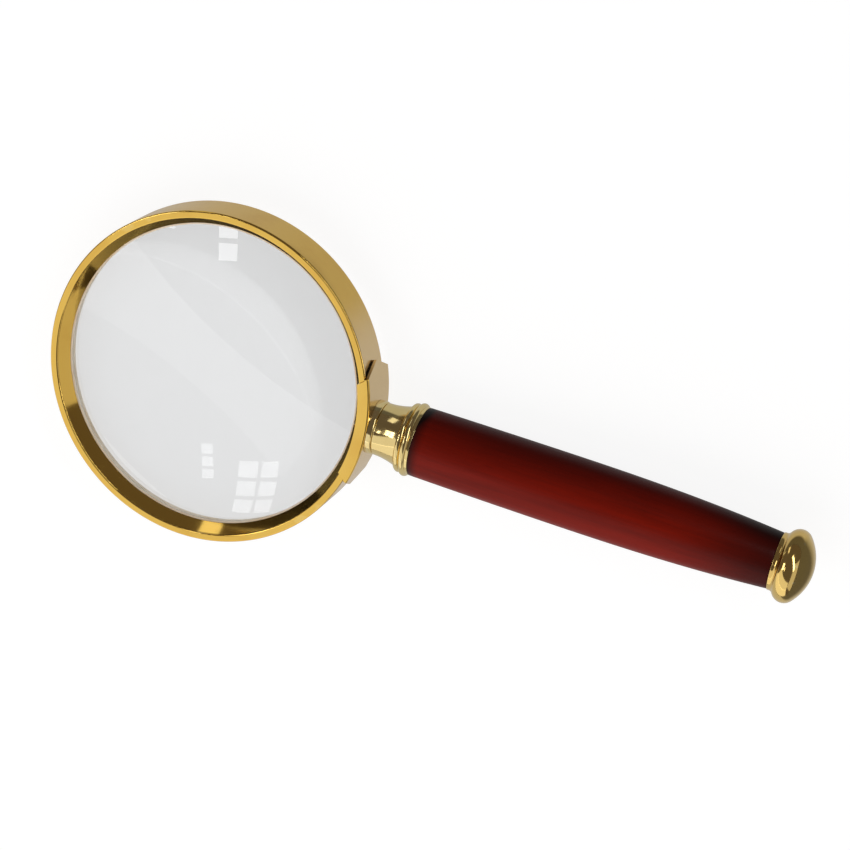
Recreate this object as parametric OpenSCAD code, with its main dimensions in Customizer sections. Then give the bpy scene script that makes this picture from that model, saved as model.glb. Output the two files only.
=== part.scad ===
// Hand magnifier: a biconvex lens in a rim formed from strip metal, a saddle
// that holds the rim's two ends together, and a lacquered wooden handle that
// screws onto a stud in the rim.
//
// Frame: the origin is the lens's centre. +Z is the lens's axis, and +X runs
// from the lens along the handle. All sizes are in millimetres.

/* [Lens] */
// Diameter of the glass
lens_d = 80; // [60:1:110]
// Thickness of the glass at its ground edge
lens_edge = 3.2; // [2.4:0.1:4]
// Radius of curvature of both faces
lens_curve_r = 190; // [170:1:300]
// Width of the bevel ground on both corners of the edge
lens_bevel = 0.4; // [0.2:0.05:0.6]
// Thickness of the soft strip that cushions the glass
gasket_t = 0.3; // [0.2:0.05:0.5]
// How far the strip reaches over the glass past the rim's seat
gasket_show = 0.35; // [0.2:0.05:0.8]

/* [Rim] */
// Width of the rim along the lens's axis
rim_w = 12; // [11.8:0.1:18]
// Thickness of the strip that the rim is formed from
rim_t = 0.6; // [0.4:0.05:0.8]
// Width of the lip that frames the glass, front and back
lip_w = 2; // [1.6:0.1:2.4]
// Rounding of the lip's corners
lip_r = 0.45; // [0.3:0.05:0.6]
// How far the seat reaches over the edge of the glass
seat_overlap = 0.9; // [0.6:0.1:1.4]
// Gap between the two ends of the strip, under the saddle
split_gap = 0.5; // [0.3:0.1:1]

/* [Saddle] */
// Thickness of the saddle
saddle_t = 1.1; // [0.8:0.1:1.6]
// Half of the angle that the saddle covers at its corners
saddle_half_angle = 18.5; // [15:0.5:24]
// How far each end rises to a point at the middle of its width
saddle_point = 3.2; // [1:0.2:5]
// How far the flanges' ends slope back towards the glass
flange_slope = 1.2; // [0.4:0.2:2]
// Clearance between pieces that are assembled and stay still
fit_gap = 0.05; // [0.02:0.01:0.08]

/* [Neck] */
// Diameter of the neck stud's thread
stud_d = 4; // [3:0.5:5]
// Advance of the handle for one turn on the stud
stud_pitch = 0.7; // [0.5:0.05:0.8]
// Length of the stud inside the ferrule
stud_engagement = 8; // [7:0.5:9]
// Running clearance round the stud
stud_clearance = 0.08; // [0.04:0.01:0.1]
// Diameter of the stud's flat head
stud_head_d = 6.5; // [6:0.1:6.8]
// Thickness of the stud's flat head
stud_head_t = 0.8; // [0.6:0.1:1]
// Space between the stud's head and the strip round the glass
head_clearance = 0.3; // [0.2:0.05:0.5]
// Thickness of the curved plate under the stud's head
backing_t = 0.8; // [0.6:0.1:1]
// Length of that plate round the rim
backing_l = 18; // [14:1:22]
// Width of that plate
backing_w = 8; // [7.5:0.5:9]
// Diameter of the collar between the saddle and the ferrule
collar_d = 13.8; // [12:0.2:16]
// Length of the collar from the saddle to the ferrule
collar_l = 1.5; // [1.2:0.1:3]

/* [Ferrule] */
// Length of the concave part of the ferrule
flare_l = 6.5; // [5:0.5:10]
// Diameter of the ferrule at the collar
flare_front_d = 13.4; // [12:0.2:15]
// Diameter of the ferrule where its first bead starts
flare_back_d = 15.8; // [15.2:0.2:17]
// Width of each of the two beads
bead_w = 1.6; // [1.2:0.1:2]
// Diameter of the first bead
bead_one_d = 17.8; // [17.2:0.2:20]
// Diameter of the second bead
bead_two_d = 18.8; // [18.2:0.2:22]
// Length of the plain band between the second bead and the wood
ferrule_band_l = 0.7; // [0.4:0.1:1.5]
// Diameter of the tenon inside the wood
tenon_d = 10; // [8:0.5:11]
// Length of the tenon inside the wood
tenon_l = 10; // [9:0.5:16]

/* [Handle] */
// Length of the wood
wood_l = 92; // [75:1:130]
// Diameter of the wood at the ferrule
wood_front_d = 17.5; // [16.5:0.1:18]
// Diameter of the wood at its fullest point
wood_full_d = 17.9; // [17.6:0.1:24]
// Diameter of the wood at the end cap
wood_back_d = 14; // [13:0.1:15]
// Distance from the ferrule to the fullest point
wood_full_at = 36; // [24:1:44]
// Rounding of the wood's two ends
wood_end_r = 0.3; // [0.1:0.1:0.6]
// Diameter of the rod that clamps the handle together
rod_d = 4; // [3:0.5:5]
// Length of the rod inside the ferrule's tenon
rod_front_l = 7; // [5:0.5:8]
// Length of the rod inside the end cap, from the wood's end
rod_back_l = 4; // [3:0.5:4.5]
// Clearance between the rod and the long hole in the wood
rod_hole_gap = 0.3; // [0.2:0.1:0.6]

/* [End cap] */
// Length of the cap behind the wood
cap_l = 9.3; // [8.6:0.1:12]
// Diameter of the cap's neck
cap_neck_d = 14.4; // [13.6:0.1:16]
// Largest diameter of the cap
cap_bead_d = 18.3; // [17.4:0.1:22]
// Radius of the cap's bead in section
cap_bead_r = 3; // [2.6:0.1:3.2]
// Distance from the wood to the cap's largest diameter
cap_bead_at = 4; // [3.8:0.1:4.5]
// Radius of the hollow between the neck and the bead
cap_neck_r = 1; // [0.6:0.1:1.2]
// Diameter of the cap's spigot inside the wood
spigot_d = 8; // [6.5:0.5:9]
// Length of the cap's spigot inside the wood
spigot_l = 5; // [3:0.5:8]

/* [Hidden] */
$fn = 128;

lens_r = lens_d / 2;
stud_r = stud_d / 2;
rod_r = rod_d / 2;

// Height of a lens face above the corner of the edge, at radius r.
function lens_rise(r) =
    sqrt(pow(lens_curve_r, 2) - pow(r, 2)) - sqrt(pow(lens_curve_r, 2) - pow(lens_r, 2));
lens_half_t = lens_edge / 2 + lens_rise(0);
// The faces are a small part of a large circle, so that circle is drawn finely.
face_fn = 1024;

// The strip round the glass is a channel: its inner edge shows past the seat.
seat_r = lens_r - seat_overlap;
gasket_in_r = seat_r - gasket_show;
gasket_out_r = lens_r + fit_gap + gasket_t;
gasket_half_w = lens_edge / 2 + lens_rise(gasket_in_r) + gasket_t;

// Radii of the rim at the neck, from the glass outwards.
head_r = stud_head_d / 2;
head_in_x = gasket_out_r + head_clearance;
head_out_x = head_in_x + stud_head_t;
backing_in_r = sqrt(pow(head_out_x, 2) + pow(head_r + fit_gap, 2));
backing_out_r = backing_in_r + backing_t;
band_in_r = backing_out_r + fit_gap;
band_r = band_in_r + rim_t;
lip_in_r = band_r - lip_w;
lip_z = rim_w / 2;
seat_z = gasket_half_w + fit_gap;

saddle_in_r = band_r + fit_gap;
saddle_out_r = saddle_in_r + saddle_t;
flange_in_z = lip_z + fit_gap;
flange_out_z = flange_in_z + saddle_t;
point_angle = atan(saddle_point / saddle_out_r);

// Places along the handle, from the saddle to the cap's end.
collar_x = saddle_out_r + fit_gap;
ferrule_x = collar_x + collar_l;
bead_one_x = ferrule_x + flare_l + bead_w / 2;
bead_two_x = bead_one_x + bead_w;
wood_x = bead_two_x + bead_w / 2 + ferrule_band_l;
cap_x = wood_x + wood_l;
cap_end_x = cap_x + cap_l;

// Bores stop this far past the end of what they hold.
bore_end_gap = 0.6;
// Extra length of a cutting shape, so that it passes through a face.
cut_over = 1;

// The concave flare is an arc that starts parallel to the axis.
flare_rise = (flare_back_d - flare_front_d) / 2;
flare_arc_r = (pow(flare_l, 2) + pow(flare_rise, 2)) / (2 * flare_rise);

// The cap's dome is an arc that is tangent to its bead.
cap_ring_r = cap_bead_d / 2 - cap_bead_r;
cap_bead_x = cap_x + cap_bead_at;
dome_l = cap_end_x - cap_bead_x;
dome_r = (pow(cap_ring_r, 2) + pow(dome_l, 2) - pow(cap_bead_r, 2)) / (2 * (dome_l - cap_bead_r));
dome_x = cap_end_x - dome_r;
dome_join_r = cap_ring_r * dome_r / (dome_r - cap_bead_r);
hollow_y = cap_neck_d / 2 + cap_neck_r;
hollow_x = cap_bead_x - sqrt(pow(cap_bead_r + cap_neck_r, 2) - pow(hollow_y - cap_ring_r, 2));

// Radius of the wood at a distance from the ferrule. It swells slowly, then
// tapers faster and faster towards the cap.
wood_taper = 2.5;
wood_steps = 16;
function wood_r(at) =
    at < wood_full_at
    ? (wood_full_d - (wood_full_d - wood_front_d) * pow(1 - at / wood_full_at, 2)) / 2
    : (wood_full_d - (wood_full_d - wood_back_d)
       * pow((at - wood_full_at) / (wood_l - wood_full_at), wood_taper)) / 2;

// Turns a profile about the X axis. In the profile, x is the radius and y is
// the distance along the axis.
module turned() {
    rotate([90, 0, 90]) rotate_extrude() children();
}

// A rod or a bore along the X axis.
module along_x(from_x, to_x, r) {
    translate([from_x, 0, 0]) rotate([0, 90, 0]) cylinder(r = r, h = to_x - from_x);
}

// A rod with both ends chamfered.
module chamfered_rod(from_x, to_x, r, chamfer) {
    turned() polygon([
        [0, from_x], [r - chamfer, from_x], [r, from_x + chamfer],
        [r, to_x - chamfer], [r - chamfer, to_x], [0, to_x]
    ]);
}

// Section of the glass, or of the space that it fills with a clearance.
module lens_section(gap) {
    corner = lens_r + lens_edge / 2 - lens_bevel + 2 * gap;
    face_y = lens_curve_r - lens_half_t;
    intersection() {
        translate([0, -face_y]) circle(r = lens_curve_r + gap, $fn = face_fn);
        translate([0, face_y]) circle(r = lens_curve_r + gap, $fn = face_fn);
        translate([0, -lens_half_t - gap]) square([lens_r + gap, 2 * (lens_half_t + gap)]);
        polygon([[0, -corner], [corner, 0], [0, corner]]);
    }
}

// Front half of the rim's section: lip, sloping inner wall and seat.
module rim_front_section() {
    corner_y = lip_z - lip_r;
    translate([band_r - lip_r, corner_y]) circle(r = lip_r);
    translate([lip_in_r + lip_r, corner_y]) circle(r = lip_r);
    translate([lip_in_r + lip_r, lip_z - rim_t]) square([lip_w - 2 * lip_r, rim_t]);
    translate([band_in_r, 0]) square([rim_t, corner_y]);
    polygon([
        [lip_in_r, corner_y], [seat_r, seat_z], [seat_r + rim_t, seat_z], [lip_in_r + rim_t, corner_y]
    ]);
}

// What is outside the saddle's pointed end, at the end on the +Y side.
module saddle_end_cut() {
    reach = 2 * (saddle_point + saddle_t);
    deep = saddle_out_r - lip_in_r;
    rotate([0, 0, saddle_half_angle]) {
        for (side = [1, -1]) translate([lip_in_r - cut_over, 0, 0])
            rotate([90, 0, 90]) linear_extrude(height = deep + 2 * cut_over)
                polygon([
                    [0, side * (flange_out_z + cut_over)], [0, side * flange_out_z],
                    [saddle_point, 0], [reach, 0], [reach, side * (flange_out_z + cut_over)]
                ]);
        translate([0, 0, -flange_out_z - cut_over]) linear_extrude(height = 2 * (flange_out_z + cut_over))
            polygon([
                [lip_in_r - cut_over, -flange_slope * (1 + cut_over / deep)],
                [saddle_in_r, -flange_slope * saddle_t / deep],
                [saddle_in_r, reach], [lip_in_r - cut_over, reach]
            ]);
    }
}

module lens() {
    color("lightcyan", 0.5) rotate_extrude() lens_section(0);
}

module lens_gasket() {
    color("ivory") rotate_extrude() difference() {
        translate([gasket_in_r, -gasket_half_w])
            square([gasket_out_r - gasket_in_r, 2 * gasket_half_w]);
        lens_section(fit_gap);
    }
}

module rim() {
    color("goldenrod") difference() {
        rotate_extrude() {
            rim_front_section();
            mirror([0, 1]) rim_front_section();
        }
        translate([0, -split_gap / 2, -rim_w]) cube([band_r + cut_over, split_gap, 2 * rim_w]);
        along_x(head_out_x, band_r + cut_over, stud_r + fit_gap);
    }
}

module saddle() {
    span = saddle_half_angle + point_angle;
    color("gold") difference() {
        rotate([0, 0, -span]) rotate_extrude(angle = 2 * span) difference() {
            translate([lip_in_r, -flange_out_z])
                square([saddle_out_r - lip_in_r, 2 * flange_out_z]);
            translate([0, -flange_in_z]) square([saddle_in_r, 2 * flange_in_z]);
        }
        saddle_end_cut();
        mirror([0, 1, 0]) saddle_end_cut();
        along_x(head_out_x, saddle_out_r + cut_over, stud_r + fit_gap);
    }
}

module backing_plate() {
    half_angle = backing_l / (2 * backing_out_r) * 180 / PI;
    color("darkgoldenrod") difference() {
        rotate([0, 0, -half_angle]) rotate_extrude(angle = 2 * half_angle)
            translate([backing_in_r, -backing_w / 2]) square([backing_t, backing_w]);
        along_x(head_out_x, band_r, stud_r + fit_gap);
    }
}

module neck_stud() {
    chamfer = stud_pitch / 2;
    color("silver") union() {
        along_x(head_in_x, head_out_x, head_r);
        chamfered_rod(head_out_x - chamfer, ferrule_x + stud_engagement, stud_r, chamfer);
    }
}

module neck_collar() {
    round_r = collar_l / 3;
    color("khaki") difference() {
        turned() {
            translate([0, ferrule_x - collar_l - cut_over])
                square([collar_d / 2, collar_l + cut_over - round_r]);
            square_top = ferrule_x - fit_gap - round_r;
            translate([0, square_top]) square([collar_d / 2 - round_r, round_r]);
            translate([collar_d / 2 - round_r, square_top]) circle(r = round_r);
        }
        translate([0, 0, -collar_d]) cylinder(r = collar_x, h = 2 * collar_d);
        along_x(0, ferrule_x, stud_r + stud_clearance);
    }
}

module ferrule() {
    front_r = flare_front_d / 2;
    tenon_end_x = wood_x + tenon_l;
    color("palegoldenrod") difference() {
        turned() {
            difference() {
                translate([0, ferrule_x]) square([flare_back_d / 2, flare_l]);
                translate([front_r + flare_arc_r, ferrule_x]) circle(r = flare_arc_r);
            }
            translate([0, ferrule_x + flare_l]) square([bead_one_d / 2 - bead_w / 2, bead_w]);
            translate([bead_one_d / 2 - bead_w / 2, bead_one_x]) circle(d = bead_w);
            translate([0, bead_two_x - bead_w / 2]) square([bead_two_d / 2 - bead_w / 2, bead_w]);
            translate([bead_two_d / 2 - bead_w / 2, bead_two_x]) circle(d = bead_w);
            translate([0, bead_two_x]) square([wood_front_d / 2, wood_x - bead_two_x]);
            translate([0, wood_x]) square([tenon_d / 2, tenon_l]);
        }
        along_x(ferrule_x - cut_over, ferrule_x + stud_engagement + bore_end_gap, stud_r + stud_clearance);
        along_x(tenon_end_x - rod_front_l - bore_end_gap, tenon_end_x + cut_over, rod_r + fit_gap);
    }
}

module tie_rod() {
    color("lightsteelblue")
        chamfered_rod(wood_x + tenon_l - rod_front_l, cap_x + rod_back_l, rod_r, stud_pitch / 2);
}

module wooden_handle() {
    stations = [for (i = [1 : wood_steps - 1]) i * wood_l / wood_steps];
    color("maroon") difference() {
        turned() polygon(concat(
            [[0, wood_x], [wood_r(0) - wood_end_r, wood_x], [wood_r(0), wood_x + wood_end_r]],
            [for (at = stations) [wood_r(at), wood_x + at]],
            [[wood_r(wood_l), cap_x - wood_end_r], [wood_r(wood_l) - wood_end_r, cap_x], [0, cap_x]]
        ));
        along_x(wood_x - cut_over, cap_x + cut_over, rod_r + rod_hole_gap);
        along_x(wood_x - cut_over, wood_x + tenon_l + bore_end_gap, tenon_d / 2 + fit_gap);
        along_x(cap_x - spigot_l - bore_end_gap, cap_x + cut_over, spigot_d / 2 + fit_gap);
    }
}

module end_cap() {
    neck_r = cap_neck_d / 2;
    color("gold") difference() {
        turned() {
            translate([0, cap_x]) square([neck_r, hollow_x - cap_x]);
            difference() {
                polygon([[0, hollow_x], [hollow_y, hollow_x], [cap_ring_r, cap_bead_x], [0, cap_bead_x]]);
                translate([hollow_y, hollow_x]) circle(r = cap_neck_r);
            }
            translate([cap_ring_r, cap_bead_x]) circle(r = cap_bead_r);
            intersection() {
                translate([0, dome_x]) circle(r = dome_r);
                translate([0, cap_bead_x]) square([dome_join_r, dome_l]);
            }
            translate([0, cap_x - spigot_l]) square([spigot_d / 2, spigot_l]);
        }
        along_x(cap_x - spigot_l - cut_over, cap_x + rod_back_l + bore_end_gap, rod_r + fit_gap);
    }
}

lens();
lens_gasket();
rim();
saddle();
backing_plate();
neck_stud();
neck_collar();
ferrule();
tie_rod();
wooden_handle();
end_cap();
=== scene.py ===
"""Finished look of a hand magnifier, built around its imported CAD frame.

The frame is the CAD one, in metres: the origin is the centre of the glass,
+Z is the axis of the glass and +X runs from it along the handle. Sizes in
this file are written in millimetres and scaled as each mesh is made.
"""

from __future__ import annotations

import logging
import math
from dataclasses import dataclass, field, replace
from enum import Enum
from typing import Mapping, Sequence, Union

import bmesh
import bpy
from mathutils import Matrix, Vector


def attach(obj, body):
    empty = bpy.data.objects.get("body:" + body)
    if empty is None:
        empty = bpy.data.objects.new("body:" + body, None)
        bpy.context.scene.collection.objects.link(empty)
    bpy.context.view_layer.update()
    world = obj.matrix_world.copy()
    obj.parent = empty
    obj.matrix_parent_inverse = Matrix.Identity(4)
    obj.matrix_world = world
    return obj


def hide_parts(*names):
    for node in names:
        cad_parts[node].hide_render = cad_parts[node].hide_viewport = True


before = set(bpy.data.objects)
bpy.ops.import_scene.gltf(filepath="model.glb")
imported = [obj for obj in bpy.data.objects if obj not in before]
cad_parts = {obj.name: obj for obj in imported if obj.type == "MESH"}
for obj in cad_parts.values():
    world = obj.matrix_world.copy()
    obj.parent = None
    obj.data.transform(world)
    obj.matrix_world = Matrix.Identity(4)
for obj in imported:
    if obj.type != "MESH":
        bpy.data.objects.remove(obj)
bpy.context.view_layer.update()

MM = 0.001
MERGE_DISTANCE = 0.002 * MM
LOG = logging.getLogger("magnifier")

# Millimetres that a cutting tool stands past what it cuts.
CLEAR = 1.0

Section = tuple[float, float]
Span = tuple[float, float]
Colour = tuple[float, float, float]
Scale = tuple[float, float, float]
Corner = tuple[float, float, float]


class Axis(Enum):
    """The two axes that pieces are turned about."""

    GLASS = "z"
    HANDLE = "x"


class Body(Enum):
    """The CAD bodies that pieces ride on."""

    HEAD = "head"
    COLLAR = "collar"
    HANDLE = "handle"


class Slot(Enum):
    """The record's material slots."""

    GLASS = "glass"
    STRIP = "strip"
    GILT = "gilt"
    FITTINGS = "fittings"
    STEEL = "steel"
    LACQUER = "lacquer"


class Grain(Enum):
    """The way that polishing lines run on a metal."""

    ROUND_GLASS = "round the glass"
    ROUND_HANDLE = "round the handle"


# ---------------------------------------------------------------- node graphs


class Number:
    """A number socket on which Python's operators add Math nodes."""

    def __init__(self, graph: Graph, socket: bpy.types.NodeSocket) -> None:
        """Wraps a socket.

        Args:
            graph: The graph that new nodes are added to.
            socket: The output socket that holds the number.
        """
        self.graph = graph
        self.socket = socket

    def _maths(self, operation: str, *values: Value) -> Number:
        """Adds one Math node.

        Args:
            operation: The node's operation.
            values: The numbers or sockets of its inputs, in order.

        Returns:
            The node's result.
        """
        made = self.graph.node("ShaderNodeMath", {"operation": operation}, dict(enumerate(values)))
        return Number(self.graph, made.outputs[0])

    def __add__(self, other: Value) -> Number:
        """Sum."""
        return self._maths("ADD", self, other)

    def __radd__(self, other: Value) -> Number:
        """Sum, with the number on the left."""
        return self._maths("ADD", other, self)

    def __sub__(self, other: Value) -> Number:
        """Difference."""
        return self._maths("SUBTRACT", self, other)

    def __rsub__(self, other: Value) -> Number:
        """Difference, with the number on the left."""
        return self._maths("SUBTRACT", other, self)

    def __mul__(self, other: Value) -> Number:
        """Product."""
        return self._maths("MULTIPLY", self, other)

    def __rmul__(self, other: Value) -> Number:
        """Product, with the number on the left."""
        return self._maths("MULTIPLY", other, self)

    def __truediv__(self, other: Value) -> Number:
        """Quotient."""
        return self._maths("DIVIDE", self, other)

    def __pow__(self, other: Value) -> Number:
        """Power."""
        return self._maths("POWER", self, other)

    def size(self) -> Number:
        """Absolute value."""
        return self._maths("ABSOLUTE", self)

    def at_most(self, other: Value) -> Number:
        """The smaller of the two."""
        return self._maths("MINIMUM", self, other)

    def at_least(self, other: Value) -> Number:
        """The larger of the two."""
        return self._maths("MAXIMUM", self, other)

    def rising(self, low: float, high: float) -> Number:
        """A smooth step.

        Args:
            low: Where the step starts.
            high: Where it ends. It may be below low, for a step down.

        Returns:
            0 before low, 1 after high and a smooth rise between them.
        """
        made = self.graph.node(
            "ShaderNodeMapRange",
            {"interpolation_type": "SMOOTHSTEP"},
            {
                "Value": self,
                "From Min": min(low, high),
                "From Max": max(low, high),
                "To Min": float(low > high),
                "To Max": float(low <= high),
            },
        )
        return Number(self.graph, made.outputs[0])


Value = Union[Number, bpy.types.NodeSocket, float]


class Graph:
    """The nodes of one material or of the world."""

    # A Mix node's colour sockets share their names with others, so they go by number.
    MIX_FACTOR, MIX_FIRST, MIX_SECOND, MIX_COLOUR = 0, 6, 7, 2

    def __init__(self, owner: bpy.types.Material | bpy.types.World) -> None:
        """Empties the owner's node tree.

        Args:
            owner: The material or world whose nodes are written.
        """
        owner.use_nodes = True
        self.tree = owner.node_tree
        self.tree.nodes.clear()

    def node(
        self,
        kind: str,
        settings: Mapping[str, object] | None = None,
        inputs: Mapping[Union[str, int], object] | None = None,
    ) -> bpy.types.Node:
        """Adds a node.

        Args:
            kind: The node's Blender type.
            settings: Its properties, which are set first.
            inputs: The value or link of each socket, by name or number.

        Returns:
            The new node.
        """
        made = self.tree.nodes.new(kind)
        for name, setting in (settings or {}).items():
            setattr(made, name, setting)
        for key, value in (inputs or {}).items():
            source = value.socket if isinstance(value, Number) else value
            if isinstance(source, bpy.types.NodeSocket):
                self.tree.links.new(source, made.inputs[key])
            else:
                made.inputs[key].default_value = source
        return made

    def place(self) -> bpy.types.NodeSocket:
        """The point on the surface, in metres in the CAD frame."""
        return self.node("ShaderNodeTexCoord").outputs["Object"]

    def along(self) -> tuple[Number, Number, Number]:
        """The point on the surface.

        Returns:
            Its X, Y and Z in millimetres.
        """
        split = self.node("ShaderNodeSeparateXYZ", None, {0: self.place()})
        x, y, z = (Number(self, socket) * (1.0 / MM) for socket in split.outputs)
        return x, y, z

    def distance_from(self, axis: Axis) -> Number:
        """Distance of the point from an axis.

        Args:
            axis: The axis of the glass or of the handle.

        Returns:
            The distance in millimetres.
        """
        x, y, z = self.along()
        first, second = (x, y) if axis is Axis.GLASS else (y, z)
        return (first * first + second * second) ** 0.5

    def noise(self, scale: Scale | float, detail: float, rough: float, seed: float) -> Number:
        """Fractal noise in the CAD frame.

        Args:
            scale: How many patches there are in a metre along X, Y and Z, or
                one number for all three.
            detail: How many finer layers are added.
            rough: How strong the finer layers are.
            seed: Moves the pattern, so that two of them differ.

        Returns:
            Noise about 0.5.
        """
        scales = scale if isinstance(scale, tuple) else (scale,) * 3
        moved = self.node(
            "ShaderNodeMapping",
            {"vector_type": "POINT"},
            {"Vector": self.place(), "Location": (seed, seed * 1.7, seed * 2.3), "Scale": scales},
        )
        made = self.node(
            "ShaderNodeTexNoise",
            None,
            {"Vector": moved.outputs[0], "Scale": 1.0, "Detail": detail, "Roughness": rough},
        )
        return Number(self, made.outputs[0])

    def blend(self, amount: Value, first: object, second: object) -> bpy.types.NodeSocket:
        """Mixes two colours.

        Args:
            amount: 0 for the first, 1 for the second.
            first: A colour or its socket.
            second: A colour or its socket.

        Returns:
            The mixed colour.
        """
        one, two = ((*c, 1.0) if isinstance(c, tuple) else c for c in (first, second))
        inputs = {self.MIX_FACTOR: amount, self.MIX_FIRST: one, self.MIX_SECOND: two}
        return self.node("ShaderNodeMix", {"data_type": "RGBA"}, inputs).outputs[self.MIX_COLOUR]

    def bump(self, height: Number, depth: float) -> bpy.types.NodeSocket:
        """Turns a height into a normal.

        Args:
            height: The relief, from 0 to 1.
            depth: What 1 is worth, in millimetres.

        Returns:
            The normal.
        """
        inputs = {"Strength": 1.0, "Distance": depth * MM, "Height": height}
        return self.node("ShaderNodeBump", None, inputs).outputs[0]

    def edges(self) -> Number:
        """How sharply the surface turns outwards: 0.5 where it is flat."""
        return Number(self, self.node("ShaderNodeNewGeometry").outputs["Pointiness"])

    def ray(self, kind: str) -> Number:
        """1 for rays of one kind and 0 for the others.

        Args:
            kind: The name of the Light Path node's output.

        Returns:
            The number.
        """
        return Number(self, self.node("ShaderNodeLightPath").outputs[kind])

    def principled(self, inputs: Mapping[str, object]) -> bpy.types.Node:
        """Adds a Principled shader with these inputs."""
        return self.node("ShaderNodeBsdfPrincipled", None, inputs)

    def surface(self, shader: bpy.types.Node, owner: str = "Material") -> None:
        """Makes a shader the surface.

        Args:
            shader: The node whose first output is shown.
            owner: The kind of thing that the graph belongs to.
        """
        self.node(f"ShaderNodeOutput{owner}", None, {"Surface": shader.outputs[0]})


# -------------------------------------------------------------------- finishes


@dataclass(frozen=True)
class Finish:
    """What every finish has.

    Attributes:
        name: The material's name.
        slot: The record's slot that it belongs to. It is not used.
    """

    name: str
    slot: Slot

    def material(self) -> bpy.types.Material:
        """Makes the material, the first time that it's asked for.

        Returns:
            The material.
        """
        made = bpy.data.materials.get(self.name)
        if made is None:
            made = bpy.data.materials.new(self.name)
            self.write(Graph(made))
        return made

    def write(self, graph: Graph) -> None:
        """Writes the material's nodes.

        Args:
            graph: The empty graph.
        """
        raise NotImplementedError

    def dress(self, piece: bpy.types.Object) -> None:
        """Puts the finish on a piece.

        Args:
            piece: A new piece or a CAD node.
        """
        if not piece.material_slots:
            piece.data.materials.append(None)
        for slot in piece.material_slots:
            slot.material = self.material()


@dataclass(frozen=True)
class PlatedMetal(Finish):
    """Polished plating with faint polishing lines, stains and worn edges.

    Attributes:
        colour: The plating's colour, face on.
        stained: Its colour where it is slightly tarnished.
        worn: Its colour along worn edges.
        polish: Roughness of the polished faces.
        grain: The way that the polishing lines run.
        line_depth: Depth of the polishing lines in millimetres.
    """

    colour: Colour
    stained: Colour
    worn: Colour
    polish: float
    grain: Grain
    line_depth: float

    def lines(self, graph: Graph) -> Number:
        """Fine lines that run round one of the axes.

        Args:
            graph: The material's graph.

        Returns:
            Their height from 0 to 1.
        """
        across, along = 9000.0, 60.0
        round_glass = self.grain is Grain.ROUND_GLASS
        scale = (along, along, across) if round_glass else (across, along, along)
        return graph.noise(scale, 2.0, 0.6, 1.0)

    def tone(self, graph: Graph) -> bpy.types.NodeSocket:
        """The colour, with its stains and worn edges.

        Args:
            graph: The material's graph.

        Returns:
            The colour's socket.
        """
        cloud = graph.noise(70.0, 3.0, 0.55, 3.0)
        edge = graph.edges().rising(0.505, 0.56)
        colour = graph.blend(cloud.rising(0.45, 0.75) * 0.6, self.colour, self.stained)
        return graph.blend(edge * 0.5, colour, self.worn)

    def roughness(self, graph: Graph) -> Number:
        """The roughness, with handled patches.

        Args:
            graph: The material's graph.

        Returns:
            The roughness.
        """
        handling = graph.noise(160.0, 5.0, 0.65, 7.0).rising(0.52, 0.72)
        return self.polish + handling * 0.05 + (self.lines(graph) - 0.5) * 0.06

    def relief(self, graph: Graph) -> Number:
        """Height of the surface's fine relief in millimetres."""
        return self.lines(graph) * self.line_depth

    def write(self, graph: Graph) -> None:
        """Writes the material's nodes.

        Args:
            graph: The empty graph.
        """
        inputs = {
            "Base Color": self.tone(graph),
            "Metallic": 1.0,
            "Roughness": self.roughness(graph),
            "Normal": graph.bump(self.relief(graph), 1.0),
        }
        graph.surface(graph.principled(inputs))


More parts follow.
